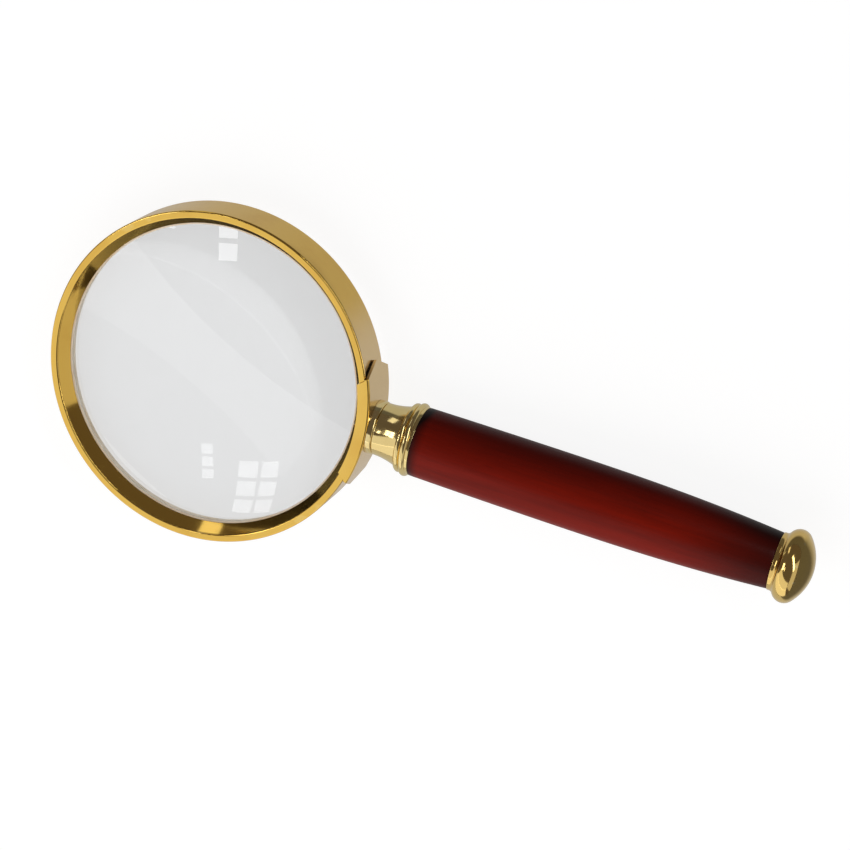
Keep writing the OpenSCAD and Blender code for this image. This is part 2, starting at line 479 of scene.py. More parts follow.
@dataclass(frozen=True)
class RimPlating(PlatedMetal):
    """Plating of the rim: satin outside with a painted reflection near the neck, hollow-rolled
    inside.

    Attributes:
        satin: Roughness of the outer band.
        painted_reflection_colour: Its colour where a reflection is painted, near the neck.
        painted_reflection_within: Angle on each side of the neck where the painted reflection is
            full, in degrees.
        painted_reflection_fade: Angle over which the painted reflection fades out, in degrees.
        outside: Radius in millimetres from which the band counts as outside.
        band_edge: Where the band's finish ends, as squares of the distance
            from the middle in millimetres.
        half_width: Half of the rim's width in millimetres.
        hollow: Slope that the rolling gives the wall inside the lips.
        cut_end: Angle of the saddle's dark cut ends from the neck in degrees,
            or 0 for a piece that has none.
        rise: How far those ends rise to a point, in millimetres.
        flange: Distance of the saddle's flanges from the middle.
        dark: Colour of the painted shade on those ends.
    """

    satin: float
    painted_reflection_colour: Colour
    painted_reflection_within: float
    painted_reflection_fade: float
    outside: float
    band_edge: Span
    half_width: float
    hollow: float
    cut_end: float
    rise: float
    flange: float
    dark: Colour

    def around(self, graph: Graph) -> Number:
        """Cosine of the angle round the lens from the neck."""
        x, _, _ = graph.along()
        return x / graph.distance_from(Axis.GLASS)

    def band(self, graph: Graph) -> Number:
        """1 on the outer band and 0 elsewhere.

        Args:
            graph: The material's graph.

        Returns:
            The mask.
        """
        _, _, z = graph.along()
        outward = graph.distance_from(Axis.GLASS).rising(self.outside - 0.15, self.outside)
        return outward * (z * z).rising(*self.band_edge)

    def tone(self, graph: Graph) -> bpy.types.NodeSocket:
        """The colour, paler near the neck by a painted reflection, with painted shade on the cut
        ends.

        Args:
            graph: The material's graph.

        Returns:
            The colour's socket.
        """
        # Painted reflection: the band and the saddle turn paler near the neck.
        start = math.cos(math.radians(self.painted_reflection_within + self.painted_reflection_fade))
        stop = math.cos(math.radians(self.painted_reflection_within))
        near = self.around(graph).rising(start, stop) * self.band(graph)
        colour = graph.blend(near * 0.75, super().tone(graph), self.painted_reflection_colour)
        if self.cut_end <= 0.0:
            return colour
        # Painted shade: the saddle's cut ends are darkened.
        return graph.blend(self.ends(graph), colour, self.dark)

    def ends(self, graph: Graph) -> Number:
        """1 on the saddle's cut ends, where shade is painted, and 0 elsewhere.

        Args:
            graph: The material's graph.

        Returns:
            The mask.
        """
        x, y, z = graph.along()
        point = self.rise * (1.0 - z.size() / self.flange)
        turn = math.radians(self.cut_end)
        past = y.size() * math.cos(turn) - x * math.sin(turn) - point
        low = graph.distance_from(Axis.GLASS).rising(self.outside + 0.6, self.outside + 0.35)
        return past.rising(-0.14, -0.02) * low

    def roughness(self, graph: Graph) -> Number:
        """The roughness, with the band's satin."""
        return super().roughness(graph) + self.band(graph) * (self.satin - self.polish)

    def relief(self, graph: Graph) -> Number:
        """The relief, with the hollow of the wall inside.

        Args:
            graph: The material's graph.

        Returns:
            Its height in millimetres.
        """
        _, _, z = graph.along()
        inside = graph.distance_from(Axis.GLASS).rising(self.outside, self.outside - 1.8)
        return super().relief(graph) + (self.half_width - z.size()) * inside * self.hollow


@dataclass(frozen=True)
class ClearGlass(Finish):
    """Polished optical glass with a finely ground edge.

    Attributes:
        tint: What the glass does to white light that passes through it.
        shade: What it does to the light that falls through it on the floor.
        refraction: Index of refraction.
        gloss: Strength of its reflections, as the shader's specular level.
        ground_from: Radius in millimetres where the ground bevel starts.
    """

    tint: Colour
    shade: Colour
    refraction: float
    gloss: float
    ground_from: float

    def write(self, graph: Graph) -> None:
        """Writes the material's nodes.

        Args:
            graph: The empty graph.
        """
        radius = graph.distance_from(Axis.GLASS)
        ground = radius.rising(self.ground_from - 0.05, self.ground_from + 0.05)
        wiped = graph.noise((35.0, 90.0, 35.0), 4.0, 0.6, 5.0).rising(0.5, 0.8)
        grit = graph.noise(4000.0, 2.0, 0.5, 2.0)
        glass = graph.principled({
            "Base Color": (*self.tint, 1.0),
            "Specular IOR Level": self.gloss,
            "Roughness": ground * 0.45 + wiped * 0.006,
            "IOR": self.refraction,
            "Transmission Weight": 1.0,
            "Normal": graph.bump(grit * ground, 0.02),
        })
        clear = graph.node("ShaderNodeBsdfTransparent", None, {0: (*self.shade, 1.0)})
        sides = {0: graph.ray("Is Shadow Ray"), 1: glass.outputs[0], 2: clear.outputs[0]}
        graph.surface(graph.node("ShaderNodeMixShader", None, sides))


@dataclass(frozen=True)
class SoftStrip(Finish):
    """Thin plastic strip, slightly yellowed and chalky.

    Attributes:
        colour: Colour of the fresh plastic.
        yellowed: Colour where it has aged.
    """

    colour: Colour
    yellowed: Colour

    def write(self, graph: Graph) -> None:
        """Writes the material's nodes.

        Args:
            graph: The empty graph.
        """
        aged = graph.noise((120.0, 120.0, 400.0), 4.0, 0.6, 4.0).rising(0.4, 0.7)
        pores = graph.noise(3000.0, 2.0, 0.5, 8.0)
        graph.surface(graph.principled({
            "Base Color": graph.blend(aged, self.colour, self.yellowed),
            "Roughness": 0.45 + aged * 0.15,
            "Normal": graph.bump(pores, 0.01),
        }))


@dataclass(frozen=True)
class ZincSteel(Finish):
    """Bright zinc-plated steel with a faint crystalline pattern.

    Attributes:
        colour: The zinc's colour.
        dull: Its colour in duller crystals.
    """

    colour: Colour
    dull: Colour

    def write(self, graph: Graph) -> None:
        """Writes the material's nodes.

        Args:
            graph: The empty graph.
        """
        crystals = graph.noise(900.0, 3.0, 0.6, 6.0).rising(0.35, 0.65)
        lines = graph.noise((12000.0, 200.0, 200.0), 2.0, 0.5, 9.0)
        graph.surface(graph.principled({
            "Base Color": graph.blend(crystals, self.colour, self.dull),
            "Metallic": 1.0,
            "Roughness": 0.2 + crystals * 0.12 + (lines - 0.5) * 0.1,
            "Normal": graph.bump(lines, 0.004),
        }))


@dataclass(frozen=True)
class RedLacquer(Finish):
    """Turned wood under coloured lacquer, darker towards both ends, with painted shade along one
    side.

    Attributes:
        clear_red: Colour where the lacquer is thin.
        deep_red: Colour of the grain's streaks.
        dark: Colour of the darker ends and of the painted shade along the side.
        front: Where the wood starts, in millimetres along the handle.
        back: Where it ends.
        front_shade: Where the front's shade ends and starts, from the front.
        back_shade: Where the back's shade starts and ends, from the back.
        painted_side_shade: Where the painted shade along the side starts and ends, along Y.
    """

    clear_red: Colour
    deep_red: Colour
    dark: Colour
    front: float
    back: float
    front_shade: Span = (3.2, -0.4)
    back_shade: Span = (-28.0, 3.0)
    painted_side_shade: Span = (5.3, 9.8)

    def shade(self, graph: Graph) -> Number:
        """How dark the lacquer is: darker towards both ends, with painted shade along the +Y side.

        Args:
            graph: The material's graph.

        Returns:
            0 where it isn't and 1 where it is fully dark.
        """
        x, y, _ = graph.along()
        ragged = (graph.noise((30.0, 60.0, 60.0), 3.0, 0.5, 12.0) - 0.5) * 5.0
        at_front = (x + ragged * 0.15).rising(*(self.front + shift for shift in self.front_shade))
        at_back = (x + ragged).rising(*(self.back + shift for shift in self.back_shade))
        # Painted shade: the +Y side of the wood is darkened.
        side_painted_shade = (y + ragged * 0.3).rising(*self.painted_side_shade)
        return (at_front * 0.9 + at_back * 0.8 + side_painted_shade * 0.72).at_most(1.0)

    def write(self, graph: Graph) -> None:
        """Writes the material's nodes.

        Args:
            graph: The empty graph.
        """
        figure = graph.noise((9.0, 130.0, 130.0), 5.0, 0.6, 2.0)
        fibres = graph.noise((60.0, 1900.0, 1900.0), 3.0, 0.6, 5.0)
        pores = graph.noise((240.0, 5200.0, 5200.0), 1.0, 0.5, 9.0).rising(0.66, 0.74)
        streaks = figure.rising(0.4, 0.68) * 0.55 + (fibres - 0.5) * 0.5 + pores * 0.25
        colour = graph.blend(streaks.at_least(0.0).at_most(1.0), self.clear_red, self.deep_red)
        ripple = graph.noise((220.0, 260.0, 260.0), 2.0, 0.5, 15.0)
        specks = graph.noise(1500.0, 1.0, 0.5, 21.0).rising(0.76, 0.82)
        relief = ripple * 0.7 + fibres * 0.2 + specks * 0.5
        graph.surface(graph.principled({
            "Base Color": graph.blend(self.shade(graph), colour, self.dark),
            "Roughness": 0.38 + (fibres - 0.5) * 0.2,
            "IOR": 1.5,
            "Specular IOR Level": 0.06,
            "Coat Weight": 0.08,
            "Coat Roughness": 0.28,
            "Coat IOR": 1.5,
            "Normal": graph.bump(relief, 0.006),
        }))


@dataclass(frozen=True)
class PalePaper(Finish):
    """The plain white floor, which shows white, keeps soft shadows and has a painted glow for
    reflections.

    Attributes:
        colour: The floor's colour.
        shown: How much is added where it's seen directly.
        through: How much is added where it's seen through glass.
        mirrored: How much painted glow is added where a polished surface shows it, near the object.
        lean: How far the side where that ends leans, as a slope along X.
        lean_to: Where along X the slope stops.
        side_end: Where that side fades out, in millimetres along Y.
        back_end: Where it fades out behind the cap, along X.
    """

    colour: Colour
    shown: float
    through: float
    mirrored: float
    lean: float = 0.55
    lean_to: float = 60.0
    side_end: Span = (66.0, 54.0)
    back_end: Span = (176.0, 157.0)

    def write(self, graph: Graph) -> None:
        """Writes the material's nodes.

        Args:
            graph: The empty graph.
        """
        fibres = graph.noise(900.0, 3.0, 0.6, 1.0)
        x, y, _ = graph.along()
        # Painted reflection: a glow that only polished surfaces see, near the object, fading along
        # +Y and behind the cap.
        side = y + x.at_most(self.lean_to) * self.lean
        painted_reflection_glow = side.rising(*self.side_end) * x.rising(*self.back_end) * self.mirrored
        passed = graph.ray("Is Transmission Ray")
        glow = graph.ray("Is Camera Ray") * self.shown + passed * self.through
        glow = glow + graph.ray("Is Glossy Ray") * (1.0 - passed) * painted_reflection_glow
        tone = graph.blend(fibres.rising(0.3, 0.7) * 0.05, self.colour, (0.1, 0.1, 0.1))
        graph.surface(graph.principled({
            "Base Color": tone,
            "Roughness": 0.9,
            "Specular IOR Level": 0.0,
            "Emission Color": graph.blend(glow, (0.0, 0.0, 0.0), (1.0, 1.0, 1.0)),
            "Emission Strength": 1.0,
        }))


GILT = RimPlating(
    name="gilt_plate",
    slot=Slot.GILT,
    colour=(0.84, 0.545, 0.115),
    stained=(0.74, 0.44, 0.085),
    worn=(0.9, 0.66, 0.22),
    polish=0.09,
    grain=Grain.ROUND_GLASS,
    line_depth=0.0012,
    satin=0.2,
    # Painted reflection near the neck.
    painted_reflection_colour=(0.93, 0.72, 0.44),
    painted_reflection_within=24.0,
    painted_reflection_fade=22.0,
    outside=43.0,
    band_edge=(45.0, 41.0),
    half_width=6.0,
    hollow=0.15,
    cut_end=0.0,
    rise=3.2,
    flange=7.15,
    # Painted shade on the saddle's cut ends.
    dark=(0.02, 0.014, 0.008),
)
# The saddle's plating, with painted shade on its cut ends.
SADDLE_GILT = replace(GILT, name="saddle_gilt", cut_end=18.5)
FITTINGS = PlatedMetal(
    name="pale_gilt_fittings",
    slot=Slot.FITTINGS,
    colour=(0.83, 0.66, 0.29),
    stained=(0.76, 0.56, 0.22),
    worn=(0.88, 0.76, 0.42),
    polish=0.1,
    grain=Grain.ROUND_HANDLE,
    line_depth=0.001,
)
CAP_GILT = replace(FITTINGS, name="cap_gilt", colour=(0.84, 0.6, 0.2), stained=(0.76, 0.5, 0.15))
GLASS = ClearGlass(
    name="clear_glass",
    slot=Slot.GLASS,
    tint=(0.76, 0.765, 0.77),
    shade=(0.93, 0.94, 0.94),
    refraction=1.52,
    gloss=0.15,
    ground_from=39.5,
)
STRIP = SoftStrip("cream_strip", Slot.STRIP, (0.9, 0.8, 0.66), (0.84, 0.68, 0.48))
STEEL = ZincSteel("zinc_steel", Slot.STEEL, (0.62, 0.63, 0.65), (0.42, 0.43, 0.45))


# ------------------------------------------------------------------- modelling


@dataclass
class Outline:
    """Half section of a turned piece.

    Attributes:
        points: Its corners, as radius and distance along the axis in millimetres.
    """

    points: list[Section]

    def to(self, radius: float, along: float) -> Outline:
        """Adds a sharp corner."""
        self.points.append((radius, along))
        return self

    def arc(self, centre: Section, radius: float, start: float, end: float, steps: int) -> Outline:
        """Adds an arc.

        Args:
            centre: The arc's centre.
            radius: Its radius.
            start: The angle in degrees where it starts, from outwards
                towards the far end of the axis.
            end: The angle where it ends.
            steps: How many straight pieces it is drawn with.

        Returns:
            The outline itself.
        """
        for i in range(steps + 1):
            turn = math.radians(start + (end - start) * i / steps)
            self.to(centre[0] + radius * math.cos(turn), centre[1] + radius * math.sin(turn))
        return self

    def rounded(
        self, radius: float, along: float, towards: Section, fillet: float, steps: int = 5
    ) -> Outline:
        """Adds a rounded corner.

        Args:
            radius: Radius of the corner before it's rounded.
            along: Its distance along the axis.
            towards: The next corner.
            fillet: Radius of the rounding.
            steps: How many straight pieces it is drawn with.

        Returns:
            The outline itself.
        """
        corner = Vector((radius, along))
        back = (Vector(self.points[-1]) - corner).normalized()
        ahead = (Vector(towards) - corner).normalized()
        half = back.angle(ahead) / 2
        centre = corner + (back + ahead).normalized() * (fillet / math.sin(half))
        first = corner + back * (fillet / math.tan(half)) - centre
        last = corner + ahead * (fillet / math.tan(half)) - centre
        start = math.degrees(math.atan2(first.y, first.x))
        swing = math.degrees(math.atan2(last.y, last.x)) - start
        swing = (swing + 180.0) % 360.0 - 180.0
        return self.arc((centre.x, centre.y), fillet, start, start + swing, steps)

    def mirrored(self, shared: bool) -> Outline:
        """Joins the outline to its own mirror image across the middle.

        Args:
            shared: Whether both of its ends are on the middle, so that the
                image shares them.

        Returns:
            The whole outline.
        """
        image = self.points[1:-1] if shared else self.points
        return Outline(self.points + [(radius, -along) for radius, along in reversed(image)])

    def clean(self) -> list[Section]:
        """Leaves out points that repeat the one before them.

        Returns:
            The other points.
        """
        kept: list[Section] = []
        for point in self.points:
            if not kept or math.dist(point, kept[-1]) > 1e-4:
                kept.append(point)
        return kept


class Bench:
    """The modelling operators that pieces are made with."""

    STEPS = 256
    FEWEST_STEPS = 8
    ROD_SIDES = 512

    @staticmethod
    def pick(*pieces: bpy.types.Object) -> None:
        """Deselects everything else, selects the pieces and makes the last one active.

        Args:
            pieces: The pieces, or none to deselect everything.
        """
        bpy.ops.object.select_all(action="DESELECT")
        for piece in pieces:
            piece.select_set(True)
            bpy.context.view_layer.objects.active = piece

    @classmethod
    def start(cls, name: str, place: Vector) -> bpy.types.Object:
        """Starts a piece as one vertex, in edit mode.

        Args:
            name: The piece's name.
            place: Where the vertex is, in metres.

        Returns:
            The piece, with its object at the origin.
        """
        cls.pick()
        bpy.ops.mesh.primitive_plane_add(size=MM, location=(0.0, 0.0, 0.0))
        piece = bpy.context.object
        piece.name = piece.data.name = name
        bpy.ops.object.mode_set(mode="EDIT")
        bpy.ops.mesh.select_all(action="SELECT")
        bpy.ops.mesh.merge(type="CENTER")
        bpy.ops.transform.translate(value=place)
        return piece

    @staticmethod
    def draw(places: Sequence[Vector], closed: bool) -> None:
        """Extrudes the selected vertex from place to place.

        Args:
            places: Every place of the line, starting at the vertex.
            closed: Whether the last place is joined to the first.
        """
        for before, after in zip(places, places[1:]):
            bpy.ops.mesh.extrude_region_move(TRANSFORM_OT_translate={"value": after - before})
        if closed:
            mesh = bmesh.from_edit_mesh(bpy.context.object.data)
            for vertex in mesh.verts:
                if len(vertex.link_edges) < 2:
                    vertex.select_set(True)
            mesh.select_flush(True)
            bmesh.update_edit_mesh(bpy.context.object.data)
            bpy.ops.mesh.edge_face_add()

    @staticmethod
    def point(axis: Axis, section: Section, turn: float) -> Vector:
        """A point of a turned piece.

        Args:
            axis: The axis that it is turned about.
            section: Radius and distance along the axis, in millimetres.
            turn: The angle about the axis, in radians.

        Returns:
            The point, in metres.
        """
        radius, along = section
        across, up = radius * math.cos(turn), radius * math.sin(turn)
        place = (across, up, along) if axis is Axis.GLASS else (along, across, up)
        return Vector(place) * MM

    @staticmethod
    def tidy() -> None:
        """Merges doubles, closes what is open and turns the faces outwards."""
        bpy.ops.mesh.select_all(action="SELECT")
        bpy.ops.mesh.remove_doubles(threshold=MERGE_DISTANCE)
        bpy.ops.mesh.fill_holes(sides=0)
        bpy.ops.mesh.select_all(action="SELECT")
        bpy.ops.mesh.normals_make_consistent(inside=False)
        bpy.ops.object.mode_set(mode="OBJECT")

    @classmethod
    def turned(
        cls,
        name: str,
        outline: Outline,
        axis: Axis,
        closed: bool,
        start: float = 0.0,
        end: float = 360.0,
    ) -> bpy.types.Object:
        """Turns a piece on a lathe.

        Args:
            name: The piece's name.
            outline: Its half section.
            axis: The axis that it's turned about.
            closed: Whether the outline's end joins its start. Otherwise
                both ends are on the axis.
            start: The angle in degrees where a part turn starts.
            end: The angle where it ends.

        Returns:
            The piece.
        """
        places = [cls.point(axis, section, math.radians(start)) for section in outline.clean()]
        piece = cls.start(name, places[0])
        cls.draw(places, closed)
        bpy.ops.mesh.select_all(action="SELECT")
        spindle = (0.0, 0.0, 1.0) if axis is Axis.GLASS else (1.0, 0.0, 0.0)
        sweep = math.radians(end - start)
        steps = max(cls.FEWEST_STEPS, round(cls.STEPS * sweep / math.tau))
        bpy.ops.mesh.spin(steps=steps, angle=-sweep, center=(0.0, 0.0, 0.0), axis=spindle)
        cls.tidy()
        return piece

    @classmethod
    def prism(cls, name: str, corners: Sequence[Vector], depth: Vector) -> bpy.types.Object:
        """Makes a prism.

        Args:
            name: Its name.
            corners: The corners of one end, in metres.
            depth: From that end to the other.

        Returns:
            The prism.
        """
        piece = cls.start(name, corners[0])
        cls.draw(corners, True)
        bpy.ops.mesh.select_all(action="SELECT")
        bpy.ops.mesh.edge_face_add()
        bpy.ops.mesh.extrude_region_move(TRANSFORM_OT_translate={"value": depth})
        cls.tidy()
        return piece

    @classmethod
    def rod(cls, name: str, radius: float, low: float, high: float, axis: Axis) -> bpy.types.Object:
        """Makes a rod to cut with.

        Args:
            name: Its name.
            radius: Its radius in millimetres.
            low: Where it starts along the axis.
            high: Where it ends.
            axis: The axis that it's on.

        Returns:
            The rod.
        """
        cls.pick()
        middle = (low + high) / 2 * MM
        place = (0.0, 0.0, middle) if axis is Axis.GLASS else (middle, 0.0, 0.0)
        turn = (0.0, 0.0, 0.0) if axis is Axis.GLASS else (0.0, math.pi / 2, 0.0)
        bpy.ops.mesh.primitive_cylinder_add(
            vertices=cls.ROD_SIDES,
            radius=radius * MM,
            depth=(high - low) * MM,
            location=place,
            rotation=turn,
        )
        piece = bpy.context.object
        piece.name = name
        return piece

    @classmethod
    def apply(cls, piece: bpy.types.Object, modifier: bpy.types.Modifier) -> None:
        """Applies a modifier.

        Args:
            piece: The piece that has it.
            modifier: The modifier.
        """
        cls.pick(piece)
        bpy.ops.object.modifier_apply(modifier=modifier.name)

    @classmethod
    def cut(cls, piece: bpy.types.Object, tool: bpy.types.Object) -> None:
        """Cuts a tool's shape out of a piece and throws the tool away.

        Args:
            piece: The piece.
            tool: The shape that's cut out.
        """
        modifier = piece.modifiers.new("cut", "BOOLEAN")
        modifier.operation = "DIFFERENCE"
        modifier.solver = "EXACT"
        modifier.object = tool
        cls.apply(piece, modifier)
        bpy.data.objects.remove(tool)

    @classmethod
    def soften(cls, piece: bpy.types.Object, width: float) -> None:
        """Rounds a piece's sharp edges.

        Args:
            piece: The piece.
            width: Width of the rounding, in millimetres.
        """
        modifier = piece.modifiers.new("soften", "BEVEL")
        modifier.width = width * MM
        modifier.segments = 3
        modifier.limit_method = "ANGLE"
        modifier.angle_limit = math.radians(30.0)
        cls.apply(piece, modifier)

    @classmethod
    def polish(cls, piece: bpy.types.Object, angle: float = 34.0) -> None:
        """Shades a piece smooth, with flat faces kept flat.

        Args:
            piece: The piece.
            angle: Edges sharper than this many degrees stay sharp.
        """
        cls.pick(piece)
        bpy.ops.object.shade_smooth_by_angle(angle=math.radians(angle))
        modifier = piece.modifiers.new("weigh", "WEIGHTED_NORMAL")
        modifier.keep_sharp = True
        cls.apply(piece, modifier)


def fit_out(
    piece: bpy.types.Object, body: Body, finish: Finish, *stands_for: str
) -> bpy.types.Object:
    """Dresses a finished piece and ties it to the frame.

    Args:
        piece: The piece.
        body: The body that it rides on.
        finish: Its finish.
        stands_for: The CAD nodes that it replaces.

    Returns:
        The piece.
    """
    finish.dress(piece)
    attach(piece, body.value)
    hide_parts(*stands_for)
    return piece


# ---------------------------------------------------------------- sub-assemblies


@dataclass
class Lens:
    """The biconvex glass and the strip round its edge.

    Attributes:
        radius: Radius of the glass.
        edge: Thickness at the edge.
        curve: Radius of both faces.
        bevel: Width of the bevels ground on the edge.
        gap: Clearance between glass and strip.
        strip_in: Inner radius of the strip.
        strip_out: Outer radius of the strip.
        strip_half: Half of the strip's width.
        strip_round: Rounding of the strip's edges.
        rings_on_face: How many rings each face is drawn with.
        rings_on_strip: How many rings follow the glass under the strip's lip.
        smooth: Edges of the glass above this many degrees stay sharp.
    """

    radius: float = 40.0
    edge: float = 3.2
    curve: float = 190.0
    bevel: float = 0.4
    gap: float = 0.05
    strip_in: float = 38.75
    strip_out: float = 40.35
    strip_half: float = 2.16
    strip_round: float = 0.1
    rings_on_face: int = 40
    rings_on_strip: int = 6
    smooth: float = 20.0

    def face(self, radius: float, gap: float) -> float:
        """Height of a face at a radius, in millimetres, moved out by a gap."""
        depth = math.sqrt(self.curve**2 - self.radius**2)
        return math.sqrt((self.curve + gap) ** 2 - radius**2) - depth + self.edge / 2

    def bevel_sum(self, gap: float) -> float:
        """Radius plus height, which is the same all over the bevel."""
        return self.radius + self.edge / 2 - self.bevel + 2 * gap

    def bevel_start(self, gap: float) -> float:
        """Finds where the bevel meets the face.

        Args:
            gap: How far both are moved out.

        Returns:
            The radius there.
        """
        radius = self.radius - self.bevel
        for _ in range(8):
            radius = self.bevel_sum(gap) - self.face(radius, gap)
        return radius

    def rings(self, start: float, end: float, count: int, gap: float = 0.0) -> list[Section]:
        """Points of a face from one radius to another, moved out by a gap."""
        radii = (start + (end - start) * i / count for i in range(count + 1))
        return [(radius, self.face(radius, gap)) for radius in radii]

    def glass(self) -> bpy.types.Object:
        """Builds the glass.

        Returns:
            The piece.
        """
        half = Outline(self.rings(0.0, self.bevel_start(0.0), self.rings_on_face))
        half.to(self.radius, self.bevel_sum(0.0) - self.radius)
        piece = Bench.turned("lens_glass", half.mirrored(shared=False), Axis.GLASS, False)
        Bench.polish(piece, self.smooth)
        return fit_out(piece, Body.HEAD, GLASS, "lens")

    def strip(self) -> bpy.types.Object:
        """Builds the channel-shaped strip round the glass.

        Returns:
            The piece.
        """
        outer = self.radius + self.gap
        ease = self.strip_round
        half = Outline([(outer, 0.0), (outer, self.bevel_sum(self.gap) - outer)])
        start = self.bevel_start(self.gap)
        half.points += self.rings(start, self.strip_in, self.rings_on_strip, self.gap)
        half.rounded(self.strip_in, self.strip_half, (self.strip_out, self.strip_half), ease, 4)
        half.rounded(self.strip_out, self.strip_half, (self.strip_out, 0.0), ease, 4)
        half.to(self.strip_out, 0.0)
        piece = Bench.turned("lens_strip", half.mirrored(shared=True), Axis.GLASS, True)
        Bench.polish(piece)
        return fit_out(piece, Body.HEAD, STRIP, "lens_gasket")


@dataclass
class Rim:
    """The rim formed from strip and the saddle over its split.

    Attributes:
        band: Outer radius of the rim.
        metal: Thickness of the strip.
        lip: Width of the lip.
        lip_round: Rounding of the lip's corners.
        half_width: Half of the rim's width.
        seat: Radius of the seat's inner edge.
        seat_half: Distance of the seat from the middle.
        split: Gap between the strip's two ends.
        stud_hole: Radius of the hole for the neck stud.
        saddle_in: Inner radius of the saddle.
        saddle_out: Its outer radius.
        flange_in: Distance of a flange's inner face from the middle.
        flange_out: Distance of its outer face.
        saddle_angle: Half of the angle that its corners cover, in degrees.
        saddle_point: How far its ends rise to a point.
        saddle_round: Rounding between its back and its flanges.
        saddle_ease: Width of the rounding on its other edges.
        flange_slope: How far the flanges' ends slope back.
    """

    band: float = 43.03
    metal: float = 0.6
    lip: float = 2.0
    lip_round: float = 0.45
    half_width: float = 6.0
    seat: float = 39.1
    seat_half: float = 2.21
    split: float = 0.5
    stud_hole: float = 2.05
    saddle_in: float = 43.08
    saddle_out: float = 44.18
    flange_in: float = 6.05
    flange_out: float = 7.15
    saddle_angle: float = 18.5
    saddle_point: float = 3.2
    saddle_round: float = 0.5
    saddle_ease: float = 0.12
    flange_slope: float = 1.2

    def drill(self, piece: bpy.types.Object, low: float, high: float) -> None:
        """Drills the stud's hole.

        Args:
            piece: The rim or the saddle.
            low: Radius of its inner wall there.
            high: Radius of its outer wall there.
        """
        drill = Bench.rod("stud_drill", self.stud_hole, low - CLEAR, high + CLEAR, Axis.HANDLE)
        Bench.cut(piece, drill)

    def channel(self) -> bpy.types.Object:
        """Builds the rim.

        Returns:
            The piece.
        """
        lip_in = self.band - self.lip
        inner = self.band - self.metal
        under = self.half_width - self.metal
        corner = self.half_width - self.lip_round
        steps = 8
        half = Outline([(inner, 0.0), (inner, under), (lip_in + self.metal, under)])
        half.to(lip_in + self.metal, corner - 0.05)
        half.to(self.seat + self.metal, self.seat_half)
        half.rounded(self.seat, self.seat_half, (lip_in, corner), 0.08, 3)
        half.to(lip_in, corner)
        half.arc((lip_in + self.lip_round, corner), self.lip_round, 180.0, 90.0, steps)
        half.arc((self.band - self.lip_round, corner), self.lip_round, 90.0, 0.0, steps)
        half.to(self.band, 0.0)
        turn = math.degrees(self.split / 2 / self.band)
        whole = half.mirrored(shared=True)
        piece = Bench.turned("rim_channel", whole, Axis.GLASS, True, turn, 360.0 - turn)
        self.drill(piece, inner, self.band)
        Bench.polish(piece)
        return fit_out(piece, Body.HEAD, GILT, "rim")

    def tool_corners(self, points: Sequence[Corner], side: int) -> list[Vector]:
        """Turns a saddle tool's corners to one end of the saddle.

        Args:
            points: The corners as radius, distance round and height.
            side: 1 for the end on the +Y side, -1 for the other.

        Returns:
            The corners in metres.
        """
        turn = math.radians(self.saddle_angle)
        out = Vector((math.cos(turn), side * math.sin(turn), 0.0))
        on = Vector((-math.sin(turn), side * math.cos(turn), 0.0))
        up = Vector((0.0, 0.0, 1.0))
        return [(out * a + on * b + up * c) * MM for a, b, c in points]

    def trim(self, piece: bpy.types.Object, side: int) -> None:
        """Cuts one end of the saddle to its point and slope.

        Args:
            piece: The saddle.
            side: 1 for the end on the +Y side, -1 for the other.
        """
        past = self.flange_out + CLEAR
        low = self.band - self.lip
        deep = self.saddle_out - low
        far = 2 * (self.saddle_point + self.saddle_out - self.saddle_in)
        base = low - CLEAR
        chevron = [
            (base, 0.0, past),
            (base, 0.0, self.flange_out),
            (base, self.saddle_point, 0.0),
            (base, 0.0, -self.flange_out),
            (base, 0.0, -past),
            (base, far, -past),
            (base, far, past),
            (base + self.saddle_out - low + 2 * CLEAR, 0.0, past),
        ]
        *corners, top = self.tool_corners(chevron, side)
        Bench.cut(piece, Bench.prism("end_tool", corners, top - corners[0]))
        slope = [
            (base, -self.flange_slope * (1 + CLEAR / deep), -past),
            (self.saddle_in, -self.flange_slope * (self.saddle_out - self.saddle_in) / deep, -past),
            (self.saddle_in, far, -past),
            (base, far, -past),
        ]
        corners = self.tool_corners(slope, side)
        Bench.cut(piece, Bench.prism("slope_tool", corners, Vector((0.0, 0.0, 2 * past * MM))))

    def saddle(self) -> bpy.types.Object:
        """Builds the saddle.

        Returns:
            The piece.
        """
        low, out = self.band - self.lip, self.saddle_out
        half = Outline([(self.saddle_in, 0.0), (self.saddle_in, self.flange_in)])
        half.to(low, self.flange_in).to(low, self.flange_out)
        half.rounded(out, self.flange_out, (out, 0.0), self.saddle_round, 6).to(out, 0.0)
        span = self.saddle_angle + math.degrees(math.atan(self.saddle_point / out))
        whole = half.mirrored(shared=True)
        piece = Bench.turned("saddle_clip", whole, Axis.GLASS, True, -span, span)
        for side in (1, -1):
            self.trim(piece, side)
        self.drill(piece, self.band, out)
        Bench.soften(piece, self.saddle_ease)
        Bench.polish(piece)
        return fit_out(piece, Body.HEAD, SADDLE_GILT, "saddle")


